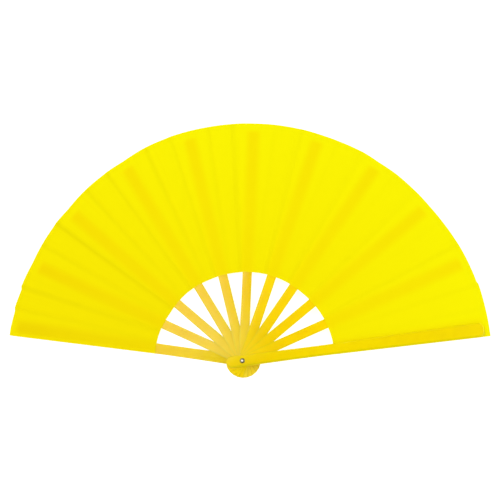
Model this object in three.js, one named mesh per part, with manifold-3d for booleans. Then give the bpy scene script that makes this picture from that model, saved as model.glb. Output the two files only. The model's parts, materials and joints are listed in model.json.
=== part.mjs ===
// A folding hand fan, open and lying on its back face: two guards and nine ribs turn on one rivet, and a
// pleated cloth leaf is bonded to them. Millimetres, +Z up. The rivet's axis is the Z axis, the table is
// z = 0, and the leaf opens towards +Y. Members are numbered from the back guard (0, on the left and at
// the bottom of the stack) to the front guard (10, on the right and on top of it).
import * as THREE from "three";
import { mergeVertices } from "three/addons/utils/BufferGeometryUtils.js";
import Module from "manifold-3d";

// Driving dimensions.
const GAPS = [16.4, 16, 18.1, 17.7, 16.4, 16.2, 15.9, 15.8, 15.7, 16.6]; // degrees between members
const LEAF_OUTER = 217; // radius of the leaf's cut edge
const LEAF_INNER = 80.5; // radius at which the leaf starts
const RIB_TIP = 209;
const GUARD_TIP = 212;
const TAIL = 15.1; // how far the ribs and the back guard reach behind the rivet
const FRONT_TAIL = 14.2; // and the front guard
const RIB_WIDTH = 8.5;
const RIB_TAIL_WIDTH = 9.2;
const GUARD_TAIL_WIDTH = 10.4;
const GUARD_NECK_WIDTH = 9.3;
const GUARD_TIP_WIDTH = 12.4;
const GUARD_THICK = 2.0;
const PITCH = 1.3; // height of one rib in the stack
const RIB_BLADE_THICK = 0.7; // of the blade under the leaf; the hub fills the pitch
const CLOTH = 0.15;
const CLEAR = 0.05; // between neighbours in the stack
const BOND = 0.02; // glue line between the cloth and the member it is bonded to

// Where the members change along their length.
const HUB_END = 32; // the hub's full thickness ends here
const BLADE_START = 74; // and the thin blade starts here
const NECK_START = 50; // every member tapers from its tail to here
const NECK_END = 72;
const RIB_CORNER = 2;
const RIB_TAIL_BULGE = 2.6; // how far the rib's blunt tail end swells from its corners
const GUARD_CORNER = 4.6;
const GUARD_BEVEL = 0.6;
const ARC_STEPS = 12;

// The rivet and what it passes through.
const SHANK_R = 1.2;
const BORE_R = 1.35;
const HEAD_R = 2.2;
const HEAD_HEIGHT = 1.1;
const PEEN_R = 1.8;
const PEEN_HEIGHT = 0.2;
const WASHER_R = 2.5;
const WASHER_BORE_R = 1.3;
const WASHER_THICK = 0.45;
const POCKET_R = 2.75; // the recess in the back guard that takes the washer and the peened end
const POCKET_DEPTH = 0.78;
const ROUND_STEPS = 32;

const LAST = GAPS.length; // number of the front guard
const rad = THREE.MathUtils.degToRad;
const sum = (list) => list.reduce((total, value) => total + value, 0);
const memberAngle = (i) => 90 + sum(GAPS) / 2 - sum(GAPS.slice(0, i));
const slotBase = (i) => GUARD_THICK + CLEAR + (i - 1) * PITCH; // underside of member i's hub
const memberTop = (i) => slotBase(i + 1) - CLEAR; // front face of member i, for all but the front guard
const RIB_BLADE_BACK = PITCH - CLEAR - RIB_BLADE_THICK; // above the hub's underside
const PLEAT_LIFT = 0.24; // from the hub's underside to the free pleat's underside
const FRONT_PANEL_LIFT = 0.51;
const FRONT_PANEL_BASE = slotBase(LAST) + FRONT_PANEL_LIFT;
const FRONT_BLADE_BACK = FRONT_PANEL_LIFT + CLOTH + BOND;
const FRONT_THICK = FRONT_BLADE_BACK + 1.7; // over the front guard's hub
const FRONT_FACE = slotBase(LAST) + FRONT_THICK;

const COLOURS = {
  rib: new THREE.MeshStandardMaterial({ color: 0xf8cf32, roughness: 0.35, metalness: 0 }),
  guard: new THREE.MeshStandardMaterial({ color: 0xf3dc20, roughness: 0.35, metalness: 0 }),
  leaf: new THREE.MeshStandardMaterial({ color: 0xfaec02, roughness: 0.8, metalness: 0 }),
  steel: new THREE.MeshStandardMaterial({ color: 0xb8b6b0, roughness: 0.25, metalness: 1 }),
};

// Joining and cutting.
const wasm = await Module();
wasm.setup();

function toSolid(geometry) {
  const bare = new THREE.BufferGeometry().setAttribute("position", geometry.getAttribute("position"));
  bare.setIndex(geometry.getIndex());
  const merged = mergeVertices(bare, 1e-4);
  return new wasm.Manifold(
    new wasm.Mesh({
      numProp: 3,
      vertProperties: merged.attributes.position.array,
      triVerts: new Uint32Array(merged.index.array),
    }),
  );
}

function toGeometry(solid) {
  const mesh = solid.getMesh();
  return new THREE.BufferGeometry()
    .setAttribute("position", new THREE.BufferAttribute(mesh.vertProperties, 3))
    .setIndex(new THREE.BufferAttribute(mesh.triVerts, 1));
}

// A flat outline raised from z = low to z = high.
function plate(shape, low, high) {
  const settings = { depth: high - low, bevelEnabled: false, curveSegments: ARC_STEPS };
  return new THREE.ExtrudeGeometry(shape, settings).translate(0, 0, low);
}

// An outline in x and z, made wide enough in y to cover any member.
function sideSlab(points) {
  const shape = new THREE.Shape(points.map(([x, z]) => new THREE.Vector2(x, z)));
  const width = 2 * GUARD_TIP_WIDTH;
  const slab = new THREE.ExtrudeGeometry(shape, { depth: width, bevelEnabled: false });
  return slab.translate(0, 0, -width / 2).rotateX(Math.PI / 2);
}

function cylinder(radius, low, high) {
  const geometry = new THREE.CylinderGeometry(radius, radius, high - low, ROUND_STEPS);
  return geometry.rotateX(Math.PI / 2).translate(0, 0, (low + high) / 2);
}

// A closed ring or button turned about Z from its profile in radius and height.
function turned(profile) {
  const points = profile.map(([r, z]) => new THREE.Vector2(r, z));
  return new THREE.LatheGeometry(points, ROUND_STEPS).rotateX(Math.PI / 2);
}

// The plan of a member lying along +X: a tail that ends in half an ellipse, sides through the given half
// widths, a square tip with rounded corners.
function memberPlan(tail, tailHalf, bulge, sides, tip, corner) {
  const tipHalf = sides[sides.length - 1][1];
  const shape = new THREE.Shape();
  shape.moveTo(bulge - tail, -tailHalf);
  sides.forEach(([x, half]) => shape.lineTo(x, -half));
  shape.lineTo(tip - corner, -tipHalf);
  shape.absarc(tip - corner, corner - tipHalf, corner, -Math.PI / 2, 0, false);
  shape.absarc(tip - corner, tipHalf - corner, corner, 0, Math.PI / 2, false);
  [...sides].reverse().forEach(([x, half]) => shape.lineTo(x, half));
  shape.lineTo(bulge - tail, tailHalf);
  shape.absellipse(bulge - tail, 0, bulge, tailHalf, Math.PI / 2, 1.5 * Math.PI, false);
  return shape;
}

// A rib: full thickness at the hub, thinned from the back to a blade that leaves room for the cloth.
function ribGeometry() {
  const sides = [[NECK_START, RIB_WIDTH / 2]];
  const plan = memberPlan(TAIL, RIB_TAIL_WIDTH / 2, RIB_TAIL_BULGE, sides, RIB_TIP, RIB_CORNER);
  const front = PITCH - CLEAR;
  const profile = [
    [-2 * TAIL, 0], [HUB_END, 0], [BLADE_START, RIB_BLADE_BACK], [RIB_TIP + 1, RIB_BLADE_BACK],
    [RIB_TIP + 1, front], [-2 * TAIL, front],
  ];
  const body = toSolid(plate(plan, -1, front + 1)).intersect(toSolid(sideSlab(profile)));
  return toGeometry(body.subtract(toSolid(cylinder(BORE_R, -1, front + 1))));
}

function guardPlan(tail) {
  const neck = GUARD_NECK_WIDTH / 2;
  const sides = [[NECK_START, neck], [NECK_END, neck], [GUARD_TIP - GUARD_CORNER, GUARD_TIP_WIDTH / 2]];
  return memberPlan(tail, GUARD_TAIL_WIDTH / 2, GUARD_TAIL_WIDTH / 2, sides, GUARD_TIP, GUARD_CORNER);
}

// A guard from z = 0 to its thickness with every edge of one face bevelled, the front one if faceUp.
function bevelledGuard(tail, thick, faceUp) {
  const settings = {
    depth: thick,
    curveSegments: ARC_STEPS,
    bevelThickness: GUARD_BEVEL,
    bevelSize: GUARD_BEVEL,
    bevelOffset: -GUARD_BEVEL,
    bevelSegments: 2,
  };
  const bar = new THREE.ExtrudeGeometry(guardPlan(tail), settings);
  return toSolid(bar.translate(0, 0, faceUp ? -GUARD_BEVEL : GUARD_BEVEL));
}

// The back guard, with the pocket for the rivet's washer in its underside.
function backGuardGeometry() {
  const slab = [[-2 * TAIL, 0], [2 * GUARD_TIP, 0], [2 * GUARD_TIP, GUARD_THICK], [-2 * TAIL, GUARD_THICK]];
  return toGeometry(
    bevelledGuard(TAIL, GUARD_THICK, false)
      .intersect(toSolid(sideSlab(slab)))
      .subtract(toSolid(cylinder(BORE_R, -1, GUARD_THICK + 1)))
      .subtract(toSolid(cylinder(POCKET_R, -1, POCKET_DEPTH))),
  );
}

// The front guard, relieved behind its blade for the leaf that is bonded to it.
function frontGuardGeometry() {
  const slab = [
    [-2 * TAIL, 0], [HUB_END, 0], [BLADE_START, FRONT_BLADE_BACK], [2 * GUARD_TIP, FRONT_BLADE_BACK],
    [2 * GUARD_TIP, FRONT_THICK], [-2 * TAIL, FRONT_THICK],
  ];
  return toGeometry(
    bevelledGuard(FRONT_TAIL, FRONT_THICK, true)
      .intersect(toSolid(sideSlab(slab)))
      .subtract(toSolid(cylinder(BORE_R, -1, FRONT_THICK + 1))),
  );
}

const polar = (radius, angle) => [radius * Math.cos(rad(angle)), radius * Math.sin(rad(angle))];

// A piece of the leaf lying along +X, between two lines given by their angles at the inner and outer
// edges of the leaf, straight along its inner edge.
function leafPiece([innerRight, outerRight], [innerLeft, outerLeft]) {
  const shape = new THREE.Shape();
  shape.moveTo(...polar(LEAF_INNER, innerRight));
  shape.lineTo(...polar(LEAF_OUTER, outerRight));
  shape.absarc(0, 0, LEAF_OUTER, rad(outerRight), rad(outerLeft), false);
  shape.lineTo(...polar(LEAF_INNER, innerLeft));
  return plate(shape, 0, CLOTH);
}

const leafPanel = (right, left) => leafPiece([-right, -right], [left, left]);

// The angle at which a guard's edge crosses a radius, seen from its centre line.
function guardEdge(radius) {
  const share = (radius - NECK_END) / (GUARD_TIP - GUARD_CORNER - NECK_END);
  const half = THREE.MathUtils.lerp(GUARD_NECK_WIDTH, GUARD_TIP_WIDTH, share) / 2;
  return THREE.MathUtils.radToDeg(Math.asin(half / radius));
}

// The leaf's end pieces, each from a crease to its guard's outer edge.
const backEnd = (right) => leafPiece([-right, -right], [guardEdge(LEAF_INNER), guardEdge(LEAF_OUTER)]);
const frontEnd = (left) => leafPiece([-guardEdge(LEAF_INNER), -guardEdge(LEAF_OUTER)], [left, left]);

function rivetGeometry() {
  const seat = FRONT_FACE + CLEAR;
  const dome = Array.from({ length: ARC_STEPS / 2 + 1 }, (_, k) => {
    const a = (k / (ARC_STEPS / 2)) * (Math.PI / 2);
    return [k === ARC_STEPS / 2 ? 0 : HEAD_R * Math.cos(a), seat + 0.3 + (HEAD_HEIGHT - 0.3) * Math.sin(a)];
  });
  return turned([
    [0, 0], [PEEN_R, 0], [PEEN_R, PEEN_HEIGHT], [SHANK_R, PEEN_HEIGHT], [SHANK_R, seat], [HEAD_R, seat],
    ...dome,
  ]);
}

function washerGeometry() {
  const low = PEEN_HEIGHT + CLEAR;
  const high = low + WASHER_THICK;
  return turned([[WASHER_BORE_R, low], [WASHER_R, low], [WASHER_R, high], [WASHER_BORE_R, high], [WASHER_BORE_R, low]]);
}

const fan = new THREE.Group();

function add(name, geometry, material, angle = 0, height = 0) {
  const mesh = new THREE.Mesh(geometry, material);
  mesh.name = name;
  mesh.rotation.z = rad(angle);
  mesh.position.z = height;
  fan.add(mesh);
}

const two = (i) => String(i).padStart(2, "0");
const quarter = (i) => GAPS[i] / 4; // a gap's creases lie a quarter of it from either member

add("back_guard", backGuardGeometry(), COLOURS.guard, memberAngle(0));
add("front_guard", frontGuardGeometry(), COLOURS.guard, memberAngle(LAST), slotBase(LAST));
add("rivet", rivetGeometry(), COLOURS.steel);
add("rivet_washer", washerGeometry(), COLOURS.steel);
add("leaf_back_end", backEnd(quarter(0)), COLOURS.leaf, memberAngle(0), memberTop(0) + BOND);
add("leaf_front_end", frontEnd(quarter(LAST - 1)), COLOURS.leaf, memberAngle(LAST), FRONT_PANEL_BASE);

for (let i = 1; i < LAST; i++) {
  add("rib_" + two(i), ribGeometry(), COLOURS.rib, memberAngle(i), slotBase(i));
  const panel = leafPanel(quarter(i), quarter(i - 1));
  add("leaf_panel_" + two(i), panel, COLOURS.leaf, memberAngle(i), memberTop(i) + BOND);
}

for (let i = 1; i <= LAST; i++) {
  const middle = (memberAngle(i - 1) + memberAngle(i)) / 2;
  const pleat = leafPanel(quarter(i - 1), quarter(i - 1));
  add("leaf_pleat_" + two(i), pleat, COLOURS.leaf, middle, slotBase(i) + PLEAT_LIFT);
}

export default fan;
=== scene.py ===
"""Looks for the folding hand fan: smooth plastic ribs and guards, a pleated cloth leaf, a steel rivet.

Metres, in the CAD frame: +Z up, the rivet on the Z axis, the back guard's back face at z = 0, the leaf
opening towards +Y. Members are numbered from the back guard, 0, to the front guard, 10. The leaf is made
in ten pieces, one for each gap, which meet on the members' centre lines.
"""

import json
import math

import bmesh
import bpy
import numpy as np
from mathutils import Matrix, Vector


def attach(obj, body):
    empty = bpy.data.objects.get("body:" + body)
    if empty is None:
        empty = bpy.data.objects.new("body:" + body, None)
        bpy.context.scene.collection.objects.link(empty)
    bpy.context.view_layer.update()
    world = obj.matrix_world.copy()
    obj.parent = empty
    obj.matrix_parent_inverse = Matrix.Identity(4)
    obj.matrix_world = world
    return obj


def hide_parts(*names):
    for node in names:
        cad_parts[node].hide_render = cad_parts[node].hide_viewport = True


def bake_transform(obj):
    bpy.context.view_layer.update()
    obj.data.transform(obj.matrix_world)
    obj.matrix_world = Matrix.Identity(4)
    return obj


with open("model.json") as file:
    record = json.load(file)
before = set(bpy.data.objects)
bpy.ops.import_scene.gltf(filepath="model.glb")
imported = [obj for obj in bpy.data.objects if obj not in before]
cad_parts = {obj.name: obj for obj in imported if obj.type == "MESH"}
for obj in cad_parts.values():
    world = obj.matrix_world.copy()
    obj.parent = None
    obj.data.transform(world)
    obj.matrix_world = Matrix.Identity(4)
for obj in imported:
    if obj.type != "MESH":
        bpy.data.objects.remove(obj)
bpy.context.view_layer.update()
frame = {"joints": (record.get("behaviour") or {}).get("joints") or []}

MM = 0.001

# The gaps between neighbouring members when the fan is open, in degrees, from the back guard on.
JOINTS = {j["name"]: j for j in frame["joints"]}
GAPS = [JOINTS[name]["range_deg"][1] for name in sorted(JOINTS) if name.startswith("swing_")]
LAST = len(GAPS)
BODIES = ["back_frame"] + [f"rib_body_{i:02d}" for i in range(1, LAST)] + ["front_frame"]

# Driving dimensions, the same as the CAD model's.
LEAF_OUTER = 217 * MM
LEAF_INNER = 80.5 * MM
RIB_TIP = 209 * MM
GUARD_TIP = 212 * MM
TAIL = 15.1 * MM
FRONT_TAIL = 14.2 * MM
RIB_HALF = 4.25 * MM
RIB_TAIL_HALF = 4.6 * MM
RIB_TAIL_BULGE = 2.6 * MM
GUARD_TAIL_HALF = 5.2 * MM
GUARD_NECK_HALF = 4.65 * MM
GUARD_TIP_HALF = 6.2 * MM
GUARD_THICK = 2.0 * MM
PITCH = 1.3 * MM
CLEAR = 0.05 * MM
RIB_BLADE_THICK = 0.7 * MM
FRONT_BLADE_BACK = 0.68 * MM
FRONT_THICK = 2.38 * MM
HUB_END = 32 * MM
BLADE_START = 74 * MM
NECK_START = 50 * MM
NECK_END = 72 * MM
RIB_CORNER = 2 * MM
GUARD_CORNER = 4.6 * MM
BORE_R = 1.35 * MM
POCKET_R = 2.75 * MM
POCKET_DEPTH = 0.78 * MM

# The members from this one on lie on the right and have colours of their own.
FIRST_RIGHT_MEMBER = 6


def member_angle(i):
    """Member i's direction from the rivet, in degrees from +X."""
    return 90 + sum(GAPS) / 2 - sum(GAPS[:i])


def slot_base(i):
    """The underside of member i's hub."""
    return GUARD_THICK + CLEAR + (i - 1) * PITCH


# Camera and light.

# The camera looks down on the fan as it lies, from a little to the right of the rivet. CAMERA_TURN is in
# degrees.
CAMERA_LENS = 68.4
CAMERA_SENSOR = 36
CAMERA_PLACE = (0.0808, -0.0058, 0.8555)
CAMERA_TURN = (7.08, 5.04, 0.4)

# Each light's place, the point it faces, its two sides in metres and its power in watts.
LIGHTS = {
    "softbox": ((-0.52, 0.2, 1.0), (-0.1, 0.08, 0), (1.4, 0.85), 10.75),
    "fill": ((1.0, 0.1, 0.85), (0.05, 0.08, 0), (0.9, 1.4), 12.1),
    "front": ((0.0, -1.0, 0.65), (0, 0.05, 0), (1.4, 0.7), 0.8),
}

# The room is white up to the first of these heights, where 0 is the horizon and 1 is overhead, and fades to
# its overhead brightness at the second.
ROOM_WHITE_BELOW = 0.25
ROOM_DIM_ABOVE = 0.85
ROOM_OVERHEAD = 0.03


def make_camera():
    data = bpy.data.cameras.new("camera")
    data.lens = CAMERA_LENS
    data.sensor_width = CAMERA_SENSOR
    data.clip_start = 0.01
    data.clip_end = 50
    camera = bpy.data.objects.new("camera", data)
    camera.location = CAMERA_PLACE
    camera.rotation_euler = [math.radians(a) for a in CAMERA_TURN]
    bpy.context.scene.collection.objects.link(camera)
    bpy.context.scene.camera = camera


def area_light(name, location, target, size, power):
    data = bpy.data.lights.new(name, "AREA")
    data.shape = "RECTANGLE"
    data.size, data.size_y = size
    data.energy = power
    lamp = bpy.data.objects.new(name, data)
    lamp.location = location
    lamp.rotation_euler = (Vector(target) - Vector(location)).to_track_quat("-Z", "Y").to_euler()
    bpy.context.scene.collection.objects.link(lamp)


def make_world():
    """A pale room: bright round the horizon and nearly dark overhead, where the softboxes shine."""
    world = bpy.data.worlds.new("studio")
    bpy.context.scene.world = world
    world.use_nodes = True
    nodes, links = world.node_tree.nodes, world.node_tree.links
    nodes.clear()
    out = nodes.new("ShaderNodeOutputWorld")
    background = nodes.new("ShaderNodeBackground")
    coords = nodes.new("ShaderNodeTexCoord")
    split = nodes.new("ShaderNodeSeparateXYZ")
    ramp = nodes.new("ShaderNodeValToRGB")
    links.new(coords.outputs["Generated"], split.inputs[0])
    links.new(split.outputs["Z"], ramp.inputs["Fac"])
    low, high = ramp.color_ramp.elements
    low.position = ROOM_WHITE_BELOW
    low.color = colour(1, 1, 1)
    high.position = ROOM_DIM_ABOVE
    high.color = colour(ROOM_OVERHEAD, ROOM_OVERHEAD, ROOM_OVERHEAD)
    links.new(ramp.outputs["Color"], background.inputs["Color"])
    background.inputs["Strength"].default_value = 1.0
    links.new(background.outputs[0], out.inputs["Surface"])


# Material helpers.


def colour(r, g, b):
    return (r, g, b, 1.0)


class Nodes:
    """Short names for adding and joining the nodes of one material. A value is a number, a tuple or a
    socket of another node, and most calls return the new node's output socket."""

    def __init__(self, name):
        self.material = bpy.data.materials.new(name)
        self.material.use_nodes = True
        self.tree = self.material.node_tree
        self.shader = self.tree.nodes["Principled BSDF"]

    def add(self, kind, **inputs):
        node = self.tree.nodes.new(kind)
        for key, value in inputs.items():
            self.feed(value, node.inputs[key.replace("_", " ")])
        return node

    def feed(self, value, socket):
        if isinstance(value, bpy.types.NodeSocket):
            self.tree.links.new(value, socket)
        else:
            socket.default_value = value

    def set(self, **inputs):
        """Feeds the shader's own sockets."""
        for key, value in inputs.items():
            self.feed(value, self.shader.inputs[key.replace("_", " ")])

    def math(self, operation, a, b=0.0):
        node = self.tree.nodes.new("ShaderNodeMath")
        node.operation = operation
        self.feed(a, node.inputs[0])
        self.feed(b, node.inputs[1])
        return node.outputs[0]

    def fade(self, value, low, high, to_low=0.0, to_high=1.0):
        """to_low where value is at low, to_high where it is at high, and smooth between."""
        node = self.tree.nodes.new("ShaderNodeMapRange")
        node.interpolation_type = "SMOOTHSTEP"
        self.feed(value, node.inputs["Value"])
        self.feed(low, node.inputs["From Min"])
        self.feed(high, node.inputs["From Max"])
        self.feed(to_low, node.inputs["To Min"])
        self.feed(to_high, node.inputs["To Max"])
        return node.outputs["Result"]

    def mix(self, share, a, b, blend="MIX"):
        """Colour a where share is 0, and a blended with b where it is 1. Blender's mix node keeps its
        colours on inputs 6 and 7 and output 2."""
        node = self.tree.nodes.new("ShaderNodeMix")
        node.data_type = "RGBA"
        node.blend_type = blend
        self.feed(share, node.inputs[0])
        self.feed(a, node.inputs[6])
        self.feed(b, node.inputs[7])
        return node.outputs[2]

    def tint(self, base, share, tint):
        """base where share is 0, and base times tint where it is 1."""
        return self.mix(share, base, self.mix(1.0, base, tint, "MULTIPLY"))

    def noise(self, vector, scale, detail=3.0):
        node = self.add("ShaderNodeTexNoise", Vector=vector, Scale=scale, Detail=detail)
        return node.outputs["Fac"]

    def place(self):
        """The point's own place, which is the same at every pose."""
        return self.add("ShaderNodeTexCoord").outputs["Object"]

    def shift(self, vector, x, y, z=0.0):
        node = self.tree.nodes.new("ShaderNodeVectorMath")
        self.feed(vector, node.inputs[0])
        self.feed((x, y, z), node.inputs[1])
        return node.outputs[0]

    def uv(self, name):
        node = self.tree.nodes.new("ShaderNodeUVMap")
        node.uv_map = name
        return node.outputs["UV"]

    def split(self, vector):
        node = self.tree.nodes.new("ShaderNodeSeparateXYZ")
        self.feed(vector, node.inputs[0])
        return node.outputs

    def join(self, x, y, z=0.0):
        node = self.tree.nodes.new("ShaderNodeCombineXYZ")
        for socket, value in zip(node.inputs, (x, y, z)):
            self.feed(value, socket)
        return node.outputs[0]

    def reach(self, x, y):
        """The distance from the Z axis."""
        return self.math("SQRT", self.math("ADD", self.math("MULTIPLY", x, x), self.math("MULTIPLY", y, y)))

    def bump(self, height, strength, distance, normal=None):
        node = self.add("ShaderNodeBump", Height=height, Strength=strength, Distance=distance)
        if normal is not None:
            self.feed(normal, node.inputs["Normal"])
        return node.outputs["Normal"]


# Plastic.

# Each plastic holds two colours, at the hub and further out, for the members on the left and for those on the
# right; the left ribs' hub colour holds a little blue, a painted reflection. The plastic is painted less red
# along the members' edges, as painted shade on their rounded edges, and paler round the rivet, as painted
# light against the shade the members cast on each other there. Where the plastic asks for it, the members on
# the right are painted darker along the edge on their right, seen from the rivet, as painted shade.
# marks_shift moves the flow marks, so that no two kinds are alike.
RIB_PLASTIC = {
    # The left ribs' hub colour holds a little blue, a painted reflection.
    "side_colours": [((0.715, 0.54, 0.028), (0.67, 0.47, 0.0)), ((0.725, 0.53, 0.0), (0.74, 0.54, 0.0))],
    "rough": 0.13,
    "gloss": 0.3,
    "edge_shade": 0.9,
    "hub_light": 1.0,
    "right_edge_shade": 0.0,
    "marks_shift": 0.3,
}
GUARD_PLASTIC = {
    "side_colours": [((0.705, 0.54, 0.0), (0.715, 0.505, 0.0)), ((0.715, 0.53, 0.0), (0.75, 0.585, 0.0))],
    "rough": 0.14,
    "gloss": 0.2,
    "edge_shade": 0.5,
    "hub_light": 0.1,
    "right_edge_shade": 1.0,
    "marks_shift": 0.7,
}

# Where the colours change, from the rivet's axis.
HUB_TO_FAR = (15 * MM, 75 * MM)
# The painted light round the rivet fades out between these distances.
HUB_LIGHT_FADE = (9 * MM, 28 * MM)
# Where the painted shade along the edges and along the right-hand edge fades, in mm from the edge.
EDGE_SHADE_BAND = (0.3, 1.8)
RIGHT_EDGE_SHADE_BAND = (0.6, 3.0)

# Painted light round the rivet, against the shade the members cast on each other there.
HUB_LIGHT_TINT = colour(1.12, 1.12, 0.8)
# Painted shade along the members' rounded edges.
EDGE_SHADE_TINT = colour(0.89, 0.96, 1.0)
# Painted shade along the right-hand edge, seen from the rivet.
RIGHT_EDGE_SHADE_TINT = colour(0.85, 0.91, 1.0)
FLOW_TINT = colour(0.96, 0.945, 0.9)

# The scale of the flow marks, between which levels of their noise the colour and the gloss change, and how
# much rougher the plastic is in the strongest of them.
FLOW_SCALE = 60
FLOW_COLOUR_LEVELS = (0.35, 0.75)
FLOW_GLOSS_LEVELS = (0.3, 0.8)
FLOW_ROUGHER = 0.05
# The scale of the fine grain, how deep it is against the flow marks, and how both stand out.
GRAIN_SCALE = 900
GRAIN_DEPTH = 0.15
PLASTIC_BUMP = 0.12
PLASTIC_BUMP_DEPTH = 0.25 * MM
# Light goes a little way into the plastic, and comes out yellow.
PLASTIC_GLOW = 0.5
PLASTIC_GLOW_COLOUR = (1.0, 0.9, 0.2)
PLASTIC_GLOW_DEPTH = 2 * MM


def plastic(name, side_colours, rough, gloss, edge_shade, hub_light, right_edge_shade, marks_shift):
    """Moulded translucent yellow plastic with faint flow marks."""
    n = Nodes(name)
    place = n.place()
    x, y, _ = n.split(place)
    radius = n.reach(x, y)
    edge, on_right, _ = n.split(n.uv("bar"))
    from_right, _, _ = n.split(n.uv("right"))
    outward = n.fade(radius, *HUB_TO_FAR)
    base = n.mix(on_right, *[n.mix(outward, colour(*hub), colour(*far)) for hub, far in side_colours])
    # Painted light: paler round the rivet, where the members shade each other.
    base = n.tint(base, n.fade(radius, *HUB_LIGHT_FADE, hub_light, 0.0), HUB_LIGHT_TINT)
    # Painted shade: less red along the members' edges.
    base = n.tint(base, n.fade(edge, *EDGE_SHADE_BAND, edge_shade, 0.0), EDGE_SHADE_TINT)
    # Painted shade along the right-hand edge of the members on the right.
    right_shade = n.math("MULTIPLY", n.fade(from_right, *RIGHT_EDGE_SHADE_BAND, right_edge_shade, 0.0), on_right)
    base = n.tint(base, right_shade, RIGHT_EDGE_SHADE_TINT)
    flow = n.noise(n.shift(place, marks_shift, marks_shift), FLOW_SCALE, 4)
    n.set(Base_Color=n.tint(base, n.fade(flow, *FLOW_COLOUR_LEVELS), FLOW_TINT))
    n.set(Roughness=n.fade(flow, *FLOW_GLOSS_LEVELS, rough, rough + FLOW_ROUGHER))
    grain = n.math("MULTIPLY", n.noise(place, GRAIN_SCALE, 2), GRAIN_DEPTH)
    n.set(Normal=n.bump(n.math("ADD", flow, grain), PLASTIC_BUMP, PLASTIC_BUMP_DEPTH))
    n.set(Specular_IOR_Level=gloss)
    n.set(Subsurface_Weight=PLASTIC_GLOW, Subsurface_Radius=PLASTIC_GLOW_COLOUR)
    n.set(Subsurface_Scale=PLASTIC_GLOW_DEPTH)
    return n.material


# Cloth.

# Places across the leaf are the number of the gap, from 1 on the left, plus the fraction across it. Places
# outwards are shares of the way from the leaf's inner edge to its rim.

# The leaf's colour at its inner edge and at its rim, on the left and right, and where the two pass over. It
# is painted darker on the left, as painted shade, and paler towards the rim on the right, as painted light.
CLOTH_LEFT = (colour(0.715, 0.597, 0.0), colour(0.715, 0.603, 0.0))
CLOTH_RIGHT = (colour(0.73, 0.63, 0.0), colour(0.74, 0.69, 0.0))
CLOTH_LEFT_TO_RIGHT = (0.5, 6.0)

# The shadows of the members behind the cloth: their tint over the back guard and over the other members,
# where the one passes into the other, and how their edges and their tips fade, in half widths.
BACK_SHADOW = colour(0.935, 0.84, 1.0)
SHADOW = colour(0.98, 0.87, 1.0)
BACK_TO_OTHERS = (1.3, 2.3)
SHADOW_EDGE = (0.3, 2.2)
SHADOW_TIP = (-0.5, 0.8)
# Their strength is this share of the full one up to the first of these places, and full at the second.
SHADOW_INNER = 0.61
SHADOW_GROWS = (0.35, 1.0)
# They are patchy: between these levels of a noise of this scale, their strength grows from this share.
PATCH_SCALE = 45
PATCH_LEVELS = (0.2, 0.8)
PATCH_WEAKEST = 0.85

# The streaks along the pleats: how many cross a gap, how many there are from the inner edge to the rim, and
# between which levels of their noise they show. They are bumped, and painted slightly darker as painted
# shade.
STREAKS_ACROSS = 30
STREAKS_OUTWARDS = 1.4
STREAK_LEVELS = (0.45, 0.75)
STREAK_TINT = colour(0.985, 0.965, 1.0)
STREAK_DEPTH = 0.3 * MM
# Each crease is painted darker with the first of these, as painted shade, fading out at the second distance
# from it.
CREASE_TINT = colour(0.92, 0.91, 1.0)
CREASE_REACH = 4.2 * MM

# The width of two threads of the plain weave, and how proud they stand.
WEAVE_PITCH = 0.5 * MM
WEAVE_DEPTH = 0.03 * MM
CLOTH_BUMP = 0.25
CLOTH_ROUGH = 0.75
CLOTH_GLOSS = 0.02


def cloth():
    """Thin plain-woven polyester. The members bonded behind it show through as soft darker bands."""
    n = Nodes("leaf_cloth")
    flat = n.uv("cloth")
    across, outward, _ = n.split(n.uv("pleat"))
    off_middle, off_tip, _ = n.split(n.uv("member"))
    off_crease, mark, _ = n.split(n.uv("crease"))
    left = n.mix(outward, *CLOTH_LEFT)
    right = n.mix(outward, *CLOTH_RIGHT)
    base = n.mix(n.fade(across, *CLOTH_LEFT_TO_RIGHT), left, right)
    band = n.math("MULTIPLY", n.fade(off_middle, *SHADOW_EDGE, 1.0, 0.0), n.fade(off_tip, *SHADOW_TIP))
    band = n.math("MULTIPLY", band, n.fade(outward, *SHADOW_GROWS, SHADOW_INNER, 1.0))
    patches = n.fade(n.noise(flat, PATCH_SCALE, 2), *PATCH_LEVELS, PATCH_WEAKEST, 1.0)
    band = n.math("MULTIPLY", band, patches)
    base = n.tint(base, band, n.mix(n.fade(across, *BACK_TO_OTHERS), BACK_SHADOW, SHADOW))
    streak_u = n.math("MULTIPLY", across, STREAKS_ACROSS)
    streak_v = n.math("MULTIPLY", outward, STREAKS_OUTWARDS)
    streak = n.noise(n.join(streak_u, streak_v), 1.0, 3)
    # Painted shade along the streaks.
    base = n.tint(base, n.math("MULTIPLY", n.fade(streak, *STREAK_LEVELS), mark), STREAK_TINT)
    # Painted shade along the creases.
    line = n.math("MULTIPLY", n.fade(off_crease, 0.0, CREASE_REACH, 1.0, 0.0), mark)
    n.set(Base_Color=n.tint(base, line, CREASE_TINT))
    x, y, _ = n.split(flat)
    warp, weft = [n.math("SINE", n.math("MULTIPLY", v, 2 * math.pi / WEAVE_PITCH)) for v in (x, y)]
    normal = n.bump(n.math("MULTIPLY", warp, weft), CLOTH_BUMP, WEAVE_DEPTH)
    normal = n.bump(n.math("MULTIPLY", streak, mark), CLOTH_BUMP, STREAK_DEPTH, normal)
    n.set(Normal=normal, Roughness=CLOTH_ROUGH, Specular_IOR_Level=CLOTH_GLOSS)
    return n.material


# Steel and floor.

STEEL_BRIGHT = colour(0.85, 0.83, 0.84)
STEEL_SHADED = colour(0.17, 0.15, 0.07)
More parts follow.
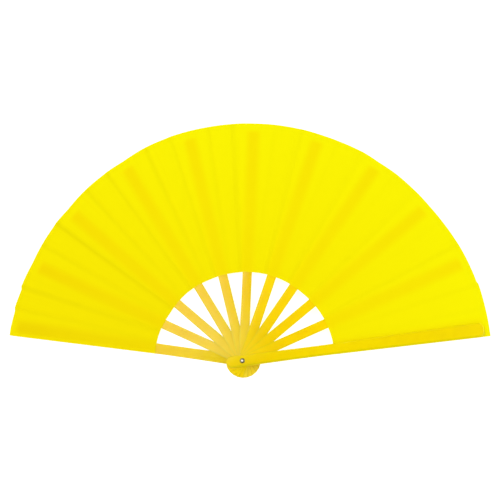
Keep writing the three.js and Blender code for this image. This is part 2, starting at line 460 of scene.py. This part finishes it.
# Where the steel turns from bright to its painted shade, and from worn to smooth, from the rivet's axis.
BRIGHT_TO_SHADED = (0.45 * MM, 1.15 * MM)
WORN_TO_SMOOTH = (0.6 * MM, 1.2 * MM)
STEEL_WORN_ROUGH = 0.5
STEEL_SMOOTH_ROUGH = 0.27

FLOOR_GREYS = (colour(0.49, 0.49, 0.49), colour(0.51, 0.51, 0.51))
FLOOR_NOISE_SCALE = 3
FLOOR_GLOW = 0.8


def steel():
    """Nickel-plated steel, worn on top, and painted dark towards the rim of its head as painted shade."""
    n = Nodes("rivet_steel")
    x, y, _ = n.split(n.place())
    away = n.reach(x, y)
    # Painted shade: dark towards the rim of the head.
    n.set(Base_Color=n.mix(n.fade(away, *BRIGHT_TO_SHADED), STEEL_BRIGHT, STEEL_SHADED))
    n.set(Metallic=1.0, Roughness=n.fade(away, *WORN_TO_SMOOTH, STEEL_WORN_ROUGH, STEEL_SMOOTH_ROUGH))
    return n.material


def floor_material():
    """A plain white table top, lit from below as a studio's is, so that it shows no edge or shadow."""
    n = Nodes("floor_white")
    n.set(Base_Color=n.mix(n.noise(n.place(), FLOOR_NOISE_SCALE), *FLOOR_GREYS))
    n.set(Roughness=0.9, Specular_IOR_Level=0.1)
    n.set(Emission_Color=colour(1, 1, 1), Emission_Strength=FLOOR_GLOW)
    return n.material


# Mesh helpers.

# Edges bent by more than this many degrees stay sharp.
SHARP_ANGLE = 35
CLOTH_SHARP_ANGLE = 60
BORE_SIDES = 48
LATHE_STEPS = 64
WELD_WITHIN = 0.001 * MM
SHORTEST_EDGE = 0.0001 * MM

# A bar's crown is at most this share of its thickness, and its bevel at most these shares of its half width
# and of its thickness.
MOST_CROWN = 0.1
MOST_BEVEL_ACROSS = 0.9
MOST_BEVEL_DEEP = 0.4
CORNER_STEPS = 3
# Where the crowned front has its points, in shares of the half width inside the bevels.
CROWN_POINTS = (0.96, 0.6, 0.2, -0.2, -0.6, -0.96)

# A bar's stations round its tail, along its sides and round its tip. The tail starts a few degrees round
# its arc, so that its end is a short edge.
TAIL_STATIONS = 13
TAIL_START = 6
SIDE_STATIONS = 60
TIP_STATIONS = 12


def new_object(name, vertices, faces, material, sharp=SHARP_ANGLE):
    mesh = bpy.data.meshes.new(name)
    mesh.from_pydata([tuple(v) for v in vertices], [], faces)
    mesh.validate()
    facing = bmesh.new()
    facing.from_mesh(mesh)
    bmesh.ops.recalc_face_normals(facing, faces=facing.faces)
    facing.to_mesh(mesh)
    facing.free()
    mesh.polygons.foreach_set("use_smooth", [True] * len(mesh.polygons))
    mesh.set_sharp_from_angle(angle=math.radians(sharp))
    mesh.materials.append(material)
    made = bpy.data.objects.new(name, mesh)
    bpy.context.scene.collection.objects.link(made)
    return made


def add_uv(mesh, name, u, v):
    """A UV layer from one u and v for each vertex."""
    layer = mesh.uv_layers.new(name=name)
    index = np.empty(len(mesh.loops), int)
    mesh.loops.foreach_get("vertex_index", index)
    layer.data.foreach_set("uv", np.column_stack([u[index], v[index]]).astype(np.float32).ravel())


def cut(target, radius, low, high):
    """Cuts a round hole along the Z axis through target."""
    tool_mesh = bpy.data.meshes.new("tool")
    shape = bmesh.new()
    bmesh.ops.create_cone(
        shape, cap_ends=True, segments=BORE_SIDES, radius1=radius, radius2=radius, depth=high - low
    )
    bmesh.ops.translate(shape, verts=shape.verts, vec=(0, 0, (low + high) / 2))
    shape.to_mesh(tool_mesh)
    shape.free()
    tool = bpy.data.objects.new("tool", tool_mesh)
    bpy.context.scene.collection.objects.link(tool)
    modifier = target.modifiers.new("cut", "BOOLEAN")
    modifier.operation = "DIFFERENCE"
    modifier.solver = "EXACT"
    modifier.object = tool
    graph = bpy.context.evaluated_depsgraph_get()
    result = bpy.data.meshes.new_from_object(target.evaluated_get(graph))
    target.modifiers.clear()
    old, target.data = target.data, result
    result.name = target.name
    bpy.data.meshes.remove(old)
    bpy.data.objects.remove(tool)
    bpy.data.meshes.remove(tool_mesh)
    result.set_sharp_from_angle(angle=math.radians(SHARP_ANGLE))


def rounded_section(half, low, high, bevel, crown):
    """Points of one cross-section of a bar, anticlockwise: rounded corners and a slightly crowned front."""
    thick = high - low
    crown = min(crown, thick * MOST_CROWN)
    b = min(bevel, half * MOST_BEVEL_ACROSS, thick * MOST_BEVEL_DEEP)
    shoulder = high - crown * (1 - b / half) ** 2
    points = []
    corners = [(half - b, low + b, -90), (half - b, shoulder - b, 0)]
    corners += [(b - half, shoulder - b, 90), (b - half, low + b, 180)]
    for k, (y, z, start) in enumerate(corners):
        for step in range(CORNER_STEPS + 1):
            a = math.radians(start + 90 / CORNER_STEPS * step)
            points.append((y + b * math.cos(a), z + b * math.sin(a)))
        if k == 1:
            for share in CROWN_POINTS:
                y = share * (half - b)
                points.append((y, high - crown * (y / half) ** 2))
    return points


def bar(name, i, stations, bevel, crown, height, material):
    """Member i, lofted along +X through stations of (x, half width, back, front) and turned to its place.
    Its UV layers, which the plastic reads, are the distance from its outline and whether it lies on the
    right, and the distance from its right side, in mm."""
    turn = math.radians(member_angle(i))
    cos, sin = math.cos(turn), math.sin(turn)
    start, end = stations[0][0], stations[-1][0]
    vertices, faces, from_edge, from_right = [], [], [], []
    for x, half, low, high in stations:
        d = min(x - start, end - x)
        inset = bevel - math.sqrt(max(bevel**2 - (bevel - d) ** 2, 0)) if d < bevel else 0
        for y, z in rounded_section(half, low + inset, high - inset, bevel, crown):
            vertices.append((x * cos - y * sin, x * sin + y * cos, z + height))
            from_edge.append(min(half - abs(y), d))
            from_right.append(half + y)
    ring = len(vertices) // len(stations)
    for k in range(len(stations) - 1):
        for j in range(ring):
            a, b = k * ring + j, k * ring + (j + 1) % ring
            faces.append((a, b, b + ring, a + ring))
    faces.append(tuple(range(ring)))
    faces.append(tuple(len(vertices) - ring + j for j in range(ring)))
    made = new_object(name, vertices, faces, material)
    add_uv(made.data, "bar", np.array(from_edge) / MM, np.full(len(from_edge), i >= FIRST_RIGHT_MEMBER))
    add_uv(made.data, "right", np.array(from_right) / MM, np.zeros(len(from_right)))
    return made


def between(x, knots):
    """Linear between (x, value) knots."""
    xs, values = zip(*knots)
    return float(np.interp(x, xs, values))


def bar_stations(tail, tail_half, bulge, sides, tip, corner, back, front):
    """Stations of (x, half width, back, front) from the rounded tail, which is bulge long, to the tip with
    its rounded corners. sides, back and front are knots of (x, value)."""
    half_at = [(bulge - tail, tail_half), *sides]
    tip_half = sides[-1][1]
    found = []
    for t in np.linspace(TAIL_START, 90, TAIL_STATIONS):
        a = math.radians(t)
        found.append((-tail + bulge * (1 - math.cos(a)), tail_half * math.sin(a)))
    for x in np.linspace(bulge - tail, tip - corner, SIDE_STATIONS)[1:-1]:
        found.append((x, between(x, half_at)))
    for t in np.linspace(0, 90, TIP_STATIONS):
        a = math.radians(t)
        found.append((tip - corner + corner * math.sin(a), tip_half - corner * (1 - math.cos(a))))
    return [(x, half, between(x, back), between(x, front)) for x, half in found]


def lathe(name, profile, material):
    """A solid turned about the Z axis from a closed profile of (radius, height)."""
    vertices, faces = [], []
    for k in range(LATHE_STEPS):
        a = 2 * math.pi * k / LATHE_STEPS
        vertices += [(r * math.cos(a), r * math.sin(a), z) for r, z in profile]
    count = len(profile)
    for k in range(LATHE_STEPS):
        here, there = k * count, (k + 1) % LATHE_STEPS * count
        for j in range(count):
            after = (j + 1) % count
            if profile[j][0] > 0 or profile[after][0] > 0:
                faces.append((here + j, there + j, there + after, here + after))
    made = new_object(name, vertices, faces, material)
    welded = bmesh.new()
    welded.from_mesh(made.data)
    bmesh.ops.remove_doubles(welded, verts=welded.verts, dist=WELD_WITHIN)
    bmesh.ops.dissolve_degenerate(welded, edges=welded.edges, dist=SHORTEST_EDGE)
    bmesh.ops.recalc_face_normals(welded, faces=welded.faces)
    welded.to_mesh(made.data)
    welded.free()
    made.data.set_sharp_from_angle(angle=math.radians(SHARP_ANGLE))
    return made


# Ribs, guards and rivet.

# How rounded the members' edges are, and how much their fronts are crowned.
RIB_BEVEL = 0.15 * MM
RIB_CROWN = 0.04 * MM
BACK_BEVEL = 0.45 * MM
FRONT_BEVEL = 0.5 * MM
FRONT_CROWN = 0.12 * MM

# A hole through a member is cut from well behind the fan to well in front of it.
CUT_FROM = -1 * MM
CUT_TO = 20 * MM

GUARD_SIDES = [
    (NECK_START, GUARD_NECK_HALF),
    (NECK_END, GUARD_NECK_HALF),
    (GUARD_TIP - GUARD_CORNER, GUARD_TIP_HALF),
]

# The rivet's closed end, its shank and its domed head.
FOOT_R = 1.8 * MM
FOOT_FACE_R = 1.65 * MM
FOOT_EDGE = 0.08 * MM
FOOT_THICK = 0.2 * MM
SHANK_R = 1.2 * MM
HEAD_R = 2.2 * MM
HEAD_SEAT_R = 2.05 * MM
HEAD_EDGE = 0.12 * MM
HEAD_RIM = 0.26 * MM
DOME_RISE = 0.84 * MM
DOME_ANGLES = (12, 90, 12)

WASHER_LOW = 0.25 * MM
WASHER_HIGH = 0.7 * MM
WASHER_INNER = 1.3 * MM
WASHER_OUTER = 2.5 * MM
WASHER_BEVEL = 0.1 * MM


def make_rib(i, material):
    front = PITCH - CLEAR
    back = [(HUB_END, 0), (BLADE_START, front - RIB_BLADE_THICK)]
    sides = [(NECK_START, RIB_HALF), (RIB_TIP - RIB_CORNER, RIB_HALF)]
    stations = bar_stations(
        TAIL, RIB_TAIL_HALF, RIB_TAIL_BULGE, sides, RIB_TIP, RIB_CORNER, back, [(0, front)]
    )
    rib = bar(f"rib_{i:02d}_smooth", i, stations, RIB_BEVEL, RIB_CROWN, slot_base(i), material)
    cut(rib, BORE_R, CUT_FROM, CUT_TO)
    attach(rib, BODIES[i])
    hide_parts(f"rib_{i:02d}")


def guard_stations(tail, back, front):
    return bar_stations(
        tail, GUARD_TAIL_HALF, GUARD_TAIL_HALF, GUARD_SIDES, GUARD_TIP, GUARD_CORNER, back, front
    )


def make_back_guard(material):
    stations = guard_stations(TAIL, [(0, 0)], [(0, GUARD_THICK)])
    guard = bar("back_guard_smooth", 0, stations, BACK_BEVEL, 0, 0, material)
    cut(guard, BORE_R, CUT_FROM, CUT_TO)
    cut(guard, POCKET_R, CUT_FROM, POCKET_DEPTH)
    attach(guard, BODIES[0])
    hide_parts("back_guard")


def make_front_guard(material):
    back = [(HUB_END, 0), (BLADE_START, FRONT_BLADE_BACK)]
    stations = guard_stations(FRONT_TAIL, back, [(0, FRONT_THICK)])
    height = slot_base(LAST)
    guard = bar("front_guard_smooth", LAST, stations, FRONT_BEVEL, FRONT_CROWN, height, material)
    cut(guard, BORE_R, CUT_FROM, CUT_TO)
    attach(guard, BODIES[LAST])
    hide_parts("front_guard")


def make_rivet(material):
    seat = slot_base(LAST) + FRONT_THICK + CLEAR
    profile = [(0, 0), (FOOT_FACE_R, 0), (FOOT_R, FOOT_EDGE), (FOOT_R, FOOT_THICK)]
    profile += [(SHANK_R, FOOT_THICK), (SHANK_R, seat), (HEAD_SEAT_R, seat)]
    profile += [(HEAD_R, seat + HEAD_EDGE), (HEAD_R, seat + HEAD_RIM)]
    for a in np.radians(np.linspace(*DOME_ANGLES)):
        profile.append((HEAD_R * math.cos(a), seat + HEAD_RIM + DOME_RISE * math.sin(a)))
    profile[-1] = (0, profile[-1][1])
    rivet = lathe("rivet_turned", profile, material)
    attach(rivet, BODIES[0])
    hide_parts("rivet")


def make_washer(material):
    profile = [(WASHER_INNER, WASHER_LOW), (WASHER_OUTER - WASHER_BEVEL, WASHER_LOW)]
    profile += [(WASHER_OUTER, WASHER_LOW + WASHER_BEVEL), (WASHER_OUTER, WASHER_HIGH - WASHER_BEVEL)]
    profile += [(WASHER_OUTER - WASHER_BEVEL, WASHER_HIGH), (WASHER_INNER, WASHER_HIGH)]
    washer = lathe("rivet_washer_turned", profile, material)
    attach(washer, BODIES[0])
    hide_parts("rivet_washer")


# The leaf.

# The cloth's thickness, and the glue's between it and a member.
CLOTH_THICK = 0.12 * MM
BOND_THICK = 0.02 * MM
# The leaf climbs from one member to the next in steps between these fractions of the gap. Its heights at the
# two in the middle are over the underside of the right-hand member's hub.
CLIMB_AT = (0.12, 0.3, 0.62, 0.8)
CLIMB_FIRST = 0.2 * MM
CLIMB_SECOND = 0.42 * MM
CLIMB_SECOND_LAST_GAP = 0.36 * MM

# The two creases of each gap, from the left: how far across the gap each lies, how marked it is, and how
# far inside LEAF_OUTER the leaf's edge lies on it, in mm.
CREASES = [
    ((0.30, 0.45, -0.9), (0.63, 0.75, -0.5)),
    ((0.33, 0.55, 0.8), (0.73, 1.0, 1.1)),
    ((0.36, 0.7, 1.1), (0.73, 0.55, 1.5)),
    ((0.36, 0.7, 0.4), (0.75, 0.35, 0.3)),
    ((0.30, 0.45, 0.4), (0.68, 0.5, 0.5)),
    ((0.33, 0.2, 0.6), (0.74, 0.2, 0.9)),
    ((0.31, 0.15, 1.2), (0.70, 0.1, 0.9)),
    ((0.31, 0.1, 1.2), (0.70, 0.1, 1.6)),
    ((0.30, 0.1, 1.6), (0.73, 0.35, 0.9)),
    ((0.36, 0.25, -0.4), (0.70, 0.15, 0.0)),
]
# The ripple along a well marked crease: its height at the rim and the share of it at the leaf's inner edge,
# its width and the rounding of its top. It fades out over this fraction of the gap beside each member.
CREASE_HEIGHT = 0.8 * MM
CREASE_AT_INNER = 0.12
CREASE_WIDTH = 2.9 * MM
CREASE_SOFTNESS = 0.9 * MM
CREASE_FADE = 0.14
# How much of a crease's mark is left at the leaf's inner edge.
MARK_AT_INNER = 0.3

# How far inside LEAF_OUTER the leaf's edge lies at each member, and how far inside LEAF_INNER it starts in
# the middle of each gap, in mm: the cloth was cut folded, so both edges wander.
EDGE_DROPS = (-0.7, 1.1, 1.9, 1.9, 0.3, 0.7, 1.2, 1.6, 1.9, 0.6, 0.1)
INNER_DROPS = (-0.4, 1.0, 0.7, 1.5, 1.4, 0.9, 0.7, 0.7, -0.2, -0.6)
# Where the two sides of a crease were cut unevenly: how much further inside the rim lies just to the left
# of it, in mm, by the gap and the crease's place in it, and how wide such a step is, in degrees.
RIM_STEPS = {(1, 0): 1.0, (1, 1): 1.1, (10, 0): 0.9}
STEP_TURN = 0.7

# How far the leaf reaches past the back guard's edge at its rim, and how far inwards of the guard's centre
# line its shadow in the cloth lies there.
BACK_OVERHANG = 0.8 * MM
BACK_SHIFT = 1.8 * MM
# How much further past its rib's tip each rib's shadow in the cloth reaches than the one to its left.
SHADOW_REACH = 0.22 * MM
# Points further than this many half widths from a member's centre line are outside its shadow.
SHADOW_LIMIT = 3

# The grid: rows from the inner edge to the rim, and columns across the gap, closer together by each crease.
LEAF_ROWS = 47
LEAF_COLUMNS = 41
CREASE_COLUMNS = (-0.028, -0.018, -0.01, -0.004, 0, 0.004, 0.01, 0.018, 0.028)
# The columns from a guard's centre line to the leaf's edge, and how far the fraction runs on over them.
END_COLUMNS = np.array([0.25, 0.5, 0.75, 1.0])
END_FRACTION = 0.01


def guard_half(radius):
    """A guard's half width at a distance from the rivet."""
    return np.interp(radius, [p[0] for p in GUARD_SIDES], [p[1] for p in GUARD_SIDES])


def rim_share(radius):
    """0 at the leaf's inner edge, 1 at its rim."""
    return np.clip((radius - LEAF_INNER) / (LEAF_OUTER - LEAF_INNER), 0, 1)


def end_reach(i, radius):
    """How far an end piece of the leaf reaches from its guard's centre line."""
    return guard_half(radius) + (BACK_OVERHANG * rim_share(radius) if i == 1 else 0)


def leaf_radius(radius, angle):
    """Where a point of the evenly spaced grid lies, once both of the leaf's edges wander."""
    rim = {member_angle(i): drop for i, drop in enumerate(EDGE_DROPS)}
    inner = {}
    for i, gap in enumerate(GAPS):
        for k, (place, _, drop) in enumerate(CREASES[i]):
            crease = member_angle(i) - place * gap
            rim[crease] = drop
            if (i + 1, k) in RIM_STEPS:
                rim[crease + STEP_TURN] = drop + RIM_STEPS[i + 1, k]
        inner[member_angle(i) - gap / 2] = INNER_DROPS[i]
    share = rim_share(radius)
    at_rim = np.interp(angle, sorted(rim), [rim[a] for a in sorted(rim)])
    at_inner = np.interp(angle, sorted(inner), [inner[a] for a in sorted(inner)])
    return radius - (share * at_rim + (1 - share) * at_inner) * MM


def leaf_height(i, f):
    """The leaf's middle surface over the underside of member i's hub, at fraction f of the gap. It is bonded
    to the front of a rib or the back guard, and to the back of the front guard."""
    start = -CLEAR + BOND_THICK + CLOTH_THICK / 2
    if i < LAST:
        heights = (start, CLIMB_FIRST, CLIMB_SECOND, PITCH + start)
    else:
        heights = (start, CLIMB_FIRST, CLIMB_SECOND_LAST_GAP, FRONT_BLADE_BACK - BOND_THICK - CLOTH_THICK / 2)
    knots = list(zip(CLIMB_AT, heights))
    value = np.full_like(f, start)
    for (f0, z0), (f1, z1) in zip(knots, knots[1:]):
        t = np.clip((f - f0) / (f1 - f0), 0, 1)
        value = value + (z1 - z0) * t * t * (3 - 2 * t)
    return value


def crease_relief(i, f, radius):
    """The ripple that each crease leaves in the open leaf, higher towards the rim."""
    height = CREASE_HEIGHT * (CREASE_AT_INNER + (1 - CREASE_AT_INNER) * rim_share(radius))
    relief = np.zeros_like(f)
    for sign, (place, mark, _) in zip((-1, 1), CREASES[i - 1]):
        distance = (f - place) * math.radians(GAPS[i - 1]) * radius
        relief += sign * mark * height * np.exp(-np.hypot(distance, CREASE_SOFTNESS) / CREASE_WIDTH)
    fade = np.clip(f / CREASE_FADE, 0, 1) * np.clip((1 - f) / CREASE_FADE, 0, 1)
    return relief * fade


def gap_columns(i):
    """Fractions of the gap for the grid's columns, closer together near the two creases."""
    columns = list(np.linspace(0, 1, LEAF_COLUMNS))
    for place, _, _ in CREASES[i - 1]:
        columns = [f for f in columns if abs(f - place) > CREASE_COLUMNS[-1]]
        columns += [place + d for d in CREASE_COLUMNS]
    return np.array(sorted(columns))


def leaf_grid(i):
    """The grid's fractions, radii and angles. The end gaps run on past the guard to the leaf's edge."""
    radii = np.linspace(LEAF_INNER, LEAF_OUTER, LEAF_ROWS)
    f, r = np.meshgrid(gap_columns(i), radii)
    angle = member_angle(i - 1) - f * GAPS[i - 1]
    overhang = np.degrees(np.arcsin(end_reach(i, radii) / radii))[:, None]
    if i == 1:
        steps = END_COLUMNS[::-1]
        angle = np.hstack([angle[:, :1] + overhang * steps, angle])
        f = np.hstack([np.repeat(-END_FRACTION * steps[None], len(radii), 0), f])
    if i == LAST:
        angle = np.hstack([angle, angle[:, -1:] - overhang * END_COLUMNS])
        f = np.hstack([f, np.repeat(1 + END_FRACTION * END_COLUMNS[None], len(radii), 0)])
    r = np.repeat(radii[:, None], f.shape[1], 1)
    return f, r, angle


def leaf_points(i, f, r, angle):
    """The middle surface's x, y and z."""
    placed = leaf_radius(r, angle)
    x = placed * np.cos(np.radians(angle))
    y = placed * np.sin(np.radians(angle))
    return x, y, slot_base(i) + leaf_height(i, f) + crease_relief(i, f, r)


def cloth_shell(x, y, z):
    """A closed shell round the grid: one copy of it half the cloth's thickness in front, one behind, and
    strips that join the two along the four sides."""
    rows, columns = x.shape
    middle = np.stack([x, y, z], -1).reshape(-1, 3)
    lift = np.array([0, 0, CLOTH_THICK / 2])
    vertices = np.vstack([middle + lift, middle - lift])
    count = rows * columns
    faces = []
    for row in range(rows - 1):
        for column in range(columns - 1):
            a = row * columns + column
            faces.append((a, a + columns, a + columns + 1, a + 1))
            faces.append(tuple(v + count for v in (a, a + 1, a + columns + 1, a + columns)))
    top = list(range(columns))
    right = [row * columns + columns - 1 for row in range(rows)]
    bottom = [(rows - 1) * columns + column for column in reversed(range(columns))]
    left = [row * columns for row in reversed(range(rows))]
    for side in (top, right, bottom, left):
        faces += [(a, b, b + count, a + count) for a, b in zip(side, side[1:])]
    return vertices, faces


def both_sides(values):
    """The grid's values for the shell's vertices."""
    return np.concatenate([values.ravel(), values.ravel()])


def member_shadow(i, f, r, angle):
    """How far each point lies from the middle of the nearer member's shadow, and inwards of its tip, in the
    member's half widths."""
    number = np.where(f < 0.5, i - 1, i)
    centre = np.where(f < 0.5, member_angle(i - 1), member_angle(i))
    is_guard = (number == 0) | (number == LAST)
    half = np.where(is_guard, guard_half(r), RIB_HALF)
    tip = np.where(is_guard, GUARD_TIP, RIB_TIP + number * SHADOW_REACH)
    shift = np.where(number == 0, BACK_SHIFT * rim_share(r), 0)
    shadow_half = np.where(number == 0, GUARD_NECK_HALF, half)
    across = np.abs(r * np.sin(np.radians(angle - centre)) + shift) / shadow_half
    return np.minimum(across, SHADOW_LIMIT), (tip - r) / half


def nearest_crease(i, f, r):
    """The distance to the nearer crease, and how marked it is there."""
    spread = math.radians(GAPS[i - 1]) * r
    first, second = [np.abs(place - f) * spread for place, _, _ in CREASES[i - 1]]
    first_mark, second_mark = [mark for _, mark, _ in CREASES[i - 1]]
    mark = np.where(first < second, first_mark, second_mark)
    return np.minimum(first, second), mark * (MARK_AT_INNER + (1 - MARK_AT_INNER) * rim_share(r))


def make_leaf_piece(i, material):
    """The leaf over gap i. Of the UV layers that the cloth reads, the first is the place in metres, and the
    second is the gap's number plus the fraction across it, with the share of the way to the rim."""
    f, r, angle = leaf_grid(i)
    x, y, z = leaf_points(i, f, r, angle)
    vertices, faces = cloth_shell(x, y, z)
    piece = new_object(f"leaf_gap_{i:02d}", vertices, faces, material, CLOTH_SHARP_ANGLE)
    layers = {
        "cloth": (x, y),
        "pleat": (f + i, rim_share(r)),
        "member": member_shadow(i, f, r, angle),
        "crease": nearest_crease(i, f, r),
    }
    for name, (u, v) in layers.items():
        add_uv(piece.data, name, both_sides(u), both_sides(v))
    bend_leaf(piece, both_sides(f), vertices)
    replaced = [f"leaf_pleat_{i:02d}"]
    replaced.append(f"leaf_panel_{i:02d}" if i < LAST else "leaf_front_end")
    if i == 1:
        replaced.append("leaf_back_end")
    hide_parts(*replaced)
    declare_sheet(i)


def bend_leaf(piece, f, vertices):
    """Lays the piece out by fraction of the gap, bakes its transform, and puts its vertices back."""
    laid_out = np.column_stack([f, np.zeros_like(f), np.zeros_like(f)])
    piece.data.vertices.foreach_set("co", laid_out.astype(np.float32).ravel())
    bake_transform(piece)
    piece.data.vertices.foreach_set("co", vertices.astype(np.float32).ravel())
    piece.data.update()


def declare_sheet(i):
    """Works out the width and area of the piece's flat sector, with an end piece's reach, and uses neither.
    """
    gap = math.radians(GAPS[i - 1])
    area = gap * (LEAF_OUTER**2 - LEAF_INNER**2) / 2
    width = 2 * LEAF_OUTER * math.sin(gap / 2)
    if i in (1, LAST):
        extra = (end_reach(i, LEAF_INNER) + end_reach(i, LEAF_OUTER)) / 2
        area += extra * (LEAF_OUTER - LEAF_INNER)
        width += extra


# Floor and the whole scene.

FLOOR_HALF = 6
FLOOR_DROP = 0.3 * MM


def make_floor():
    corners = [(-FLOOR_HALF, -FLOOR_HALF), (FLOOR_HALF, -FLOOR_HALF)]
    corners += [(FLOOR_HALF, FLOOR_HALF), (-FLOOR_HALF, FLOOR_HALF)]
    vertices = [(x, y, -FLOOR_DROP) for x, y in corners]
    floor = new_object("floor", vertices, [(0, 1, 2, 3)], floor_material())


def main():
    make_camera()
    make_world()
    for name, settings in LIGHTS.items():
        area_light(name, *settings)
    rib_plastic = plastic("rib_plastic", **RIB_PLASTIC)
    guard_plastic = plastic("guard_plastic", **GUARD_PLASTIC)
    metal = steel()
    leaf = cloth()
    make_back_guard(guard_plastic)
    for i in range(1, LAST):
        make_rib(i, rib_plastic)
    make_front_guard(guard_plastic)
    make_rivet(metal)
    make_washer(metal)
    for i in range(1, LAST + 1):
        make_leaf_piece(i, leaf)
    make_floor()
    bpy.context.scene.view_settings.view_transform = "Standard"


main()
